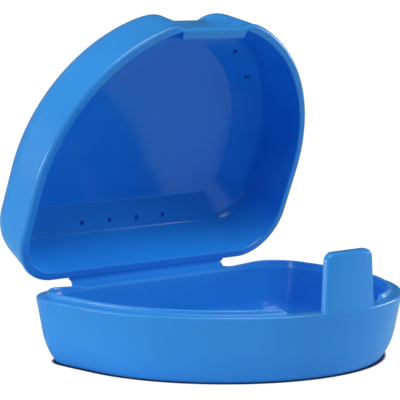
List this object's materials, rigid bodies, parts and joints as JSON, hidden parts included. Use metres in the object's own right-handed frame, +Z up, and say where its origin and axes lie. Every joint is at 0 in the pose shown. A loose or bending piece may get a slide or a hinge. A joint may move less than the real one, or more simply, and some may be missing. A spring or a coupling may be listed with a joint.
{
  "type": "retainer case",
  "caption": "D-shaped snap-shut plastic case for a dental retainer, standing open, with a folding strip hinge, a front push tab, a locating rim lip and small air holes in the lid.",
  "frame": {"origin": "centre of the flat foot under the base, half way between the hinge edge and the front of the rim", "axes": "+Z up from the table, +X along the hinge, -Y towards the front tab"},
  "size_m": [0.076, 0.0712, 0.0709],
  "materials": {
    "polypropylene": "satin moulded polypropylene, coloured through"
  },
  "bodies": {
    "base": {"base_tray": "polypropylene", "lip_left": "polypropylene", "lip_right": "polypropylene", "latch_tab": "polypropylene", "base_leaf": "polypropylene", "hinge_film": "polypropylene"},
    "lid": {"lid_shell": "polypropylene", "latch_keeper": "polypropylene", "lid_leaf": "polypropylene"}
  },
  "joints": [
    {"name": "lid_hinge", "type": "hinge", "parent": "base", "child": "lid", "pos_m": [0, 0.0309, 0.01367], "axis": [-1, 0, 0], "range_deg": [-68.5, 96.5]}
  ]
}
